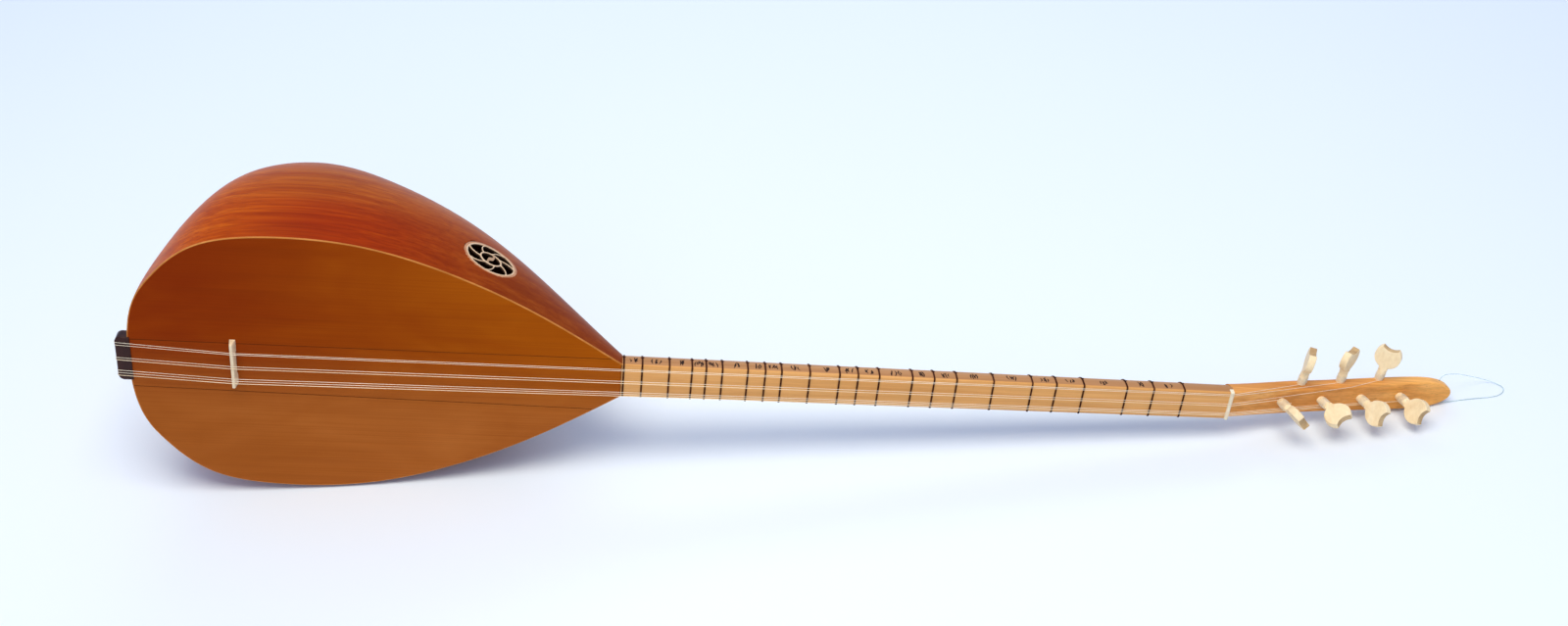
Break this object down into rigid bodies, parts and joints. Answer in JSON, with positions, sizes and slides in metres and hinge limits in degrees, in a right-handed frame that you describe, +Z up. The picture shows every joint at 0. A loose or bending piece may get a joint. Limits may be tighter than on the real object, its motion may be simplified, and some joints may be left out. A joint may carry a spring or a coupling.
{
  "type": "long-neck lute (saz)",
  "caption": "Long-neck lute with a deep teardrop bowl, flat soundboard, tied frets and friction pegs, resting on the side of its bowl.",
  "frame": {"origin": "centre of the base of the instrument's box, on the surface it rests on, without the nylon hanging loop", "axes": "+X along the instrument towards its head, +Y back from the soundboard into the bowl, +Z up; it rests on the side of the bowl and on the head, with the soundboard leaning back 4.5 degrees and the neck sloping down 6.5 degrees"},
  "size_m": [1.2548, 0.2636, 0.2652],
  "materials": {
    "bowl_wood": "satin varnish",
    "binding": "satin varnish",
    "spruce": "satin varnish",
    "seam_line": "satin varnish",
    "inner_wood": "bare",
    "rosette_wood": "bare",
    "rosewood": "satin",
    "maple": "bare, fine sanded",
    "neck_wood": "satin varnish",
    "head_wood": "satin varnish",
    "nut_bone": "polished bone-coloured",
    "fret_nylon": "dark nylon line",
    "clear_nylon": "clear nylon line",
    "plain_string": "plain steel",
    "wound_string": "wound"
  },
  "bodies": {
    "root": {"bowl": "bowl_wood", "edge_binding": "binding", "soundboard_upper": "spruce", "soundboard_centre": "spruce", "soundboard_lower": "spruce", "soundboard_seams": "seam_line", "soundboard_braces": "inner_wood", "neck_block": "inner_wood", "tail_block": "inner_wood", "rosette": "rosette_wood", "tailpiece": "rosewood", "neck": "neck_wood", "nut": "nut_bone", "headstock": "head_wood", "fret_01": "fret_nylon", "fret_02": "fret_nylon", "fret_03": "fret_nylon", "fret_04": "fret_nylon", "fret_05": "fret_nylon", "fret_06": "fret_nylon", "fret_07": "fret_nylon", "fret_08": "fret_nylon", "fret_09": "fret_nylon", "fret_10": "fret_nylon", "fret_11": "fret_nylon", "fret_12": "fret_nylon", "fret_13": "fret_nylon", "fret_14": "fret_nylon", "fret_15": "fret_nylon", "fret_16": "fret_nylon", "fret_17": "fret_nylon", "fret_18": "fret_nylon", "fret_19": "fret_nylon", "fret_20": "fret_nylon", "fret_21": "fret_nylon", "fret_22": "fret_nylon", "fret_23": "fret_nylon", "string_1": "plain_string", "string_2": "plain_string", "string_3": "plain_string", "string_4": "wound_string", "string_5": "plain_string", "string_6": "plain_string", "string_7": "wound_string", "hanging_loop": "clear_nylon"},
    "bridge_body": {"bridge": "maple"},
    "peg_front_1_body": {"peg_front_1": "maple", "winding_front_1": "wound_string"},
    "peg_side_1_body": {"peg_side_1": "maple", "winding_side_1": "plain_string"},
    "peg_front_2_body": {"peg_front_2": "maple", "winding_front_2": "plain_string"},
    "peg_side_2_body": {"peg_side_2": "maple", "winding_side_2": "plain_string"},
    "peg_front_3_body": {"peg_front_3": "maple", "winding_front_3": "plain_string"},
    "peg_side_3_body": {"peg_side_3": "maple", "winding_side_3": "plain_string"},
    "peg_front_4_body": {"peg_front_4": "maple", "winding_front_4": "wound_string"}
  },
  "joints": [
    {"name": "bridge_slide", "type": "slide", "parent": "root", "child": "bridge_body", "axis": [0.9935, 0, -0.1136], "range_m": [-0.003, 0.003]},
    {"name": "peg_front_1_turn", "type": "hinge", "parent": "root", "child": "peg_front_1_body", "pos_m": [0.42664, -0.0968, 0.03442], "axis": [0.3482, -0.9368, 0.0344], "continuous": true},
    {"name": "peg_side_1_turn", "type": "hinge", "parent": "root", "child": "peg_side_1_body", "pos_m": [0.44779, -0.08275, 0.04355], "axis": [0.1984, 0.0903, 0.976], "continuous": true},
    {"name": "peg_front_2_turn", "type": "hinge", "parent": "root", "child": "peg_front_2_body", "pos_m": [0.46595, -0.09125, 0.02949], "axis": [0.3482, -0.9368, 0.0344], "continuous": true},
    {"name": "peg_side_2_turn", "type": "hinge", "parent": "root", "child": "peg_side_2_body", "pos_m": [0.48632, -0.0773, 0.03883], "axis": [0.1984, 0.0903, 0.976], "continuous": true},
    {"name": "peg_front_3_turn", "type": "hinge", "parent": "root", "child": "peg_front_3_body", "pos_m": [0.50526, -0.0857, 0.02455], "axis": [0.3482, -0.9368, 0.0344], "continuous": true},
    {"name": "peg_side_3_turn", "type": "hinge", "parent": "root", "child": "peg_side_3_body", "pos_m": [0.52494, -0.0718, 0.03487], "axis": [0.1984, 0.0903, 0.976], "continuous": true},
    {"name": "peg_front_4_turn", "type": "hinge", "parent": "root", "child": "peg_front_4_body", "pos_m": [0.54456, -0.08015, 0.01962], "axis": [0.3482, -0.9368, 0.0344], "continuous": true}
  ]
}
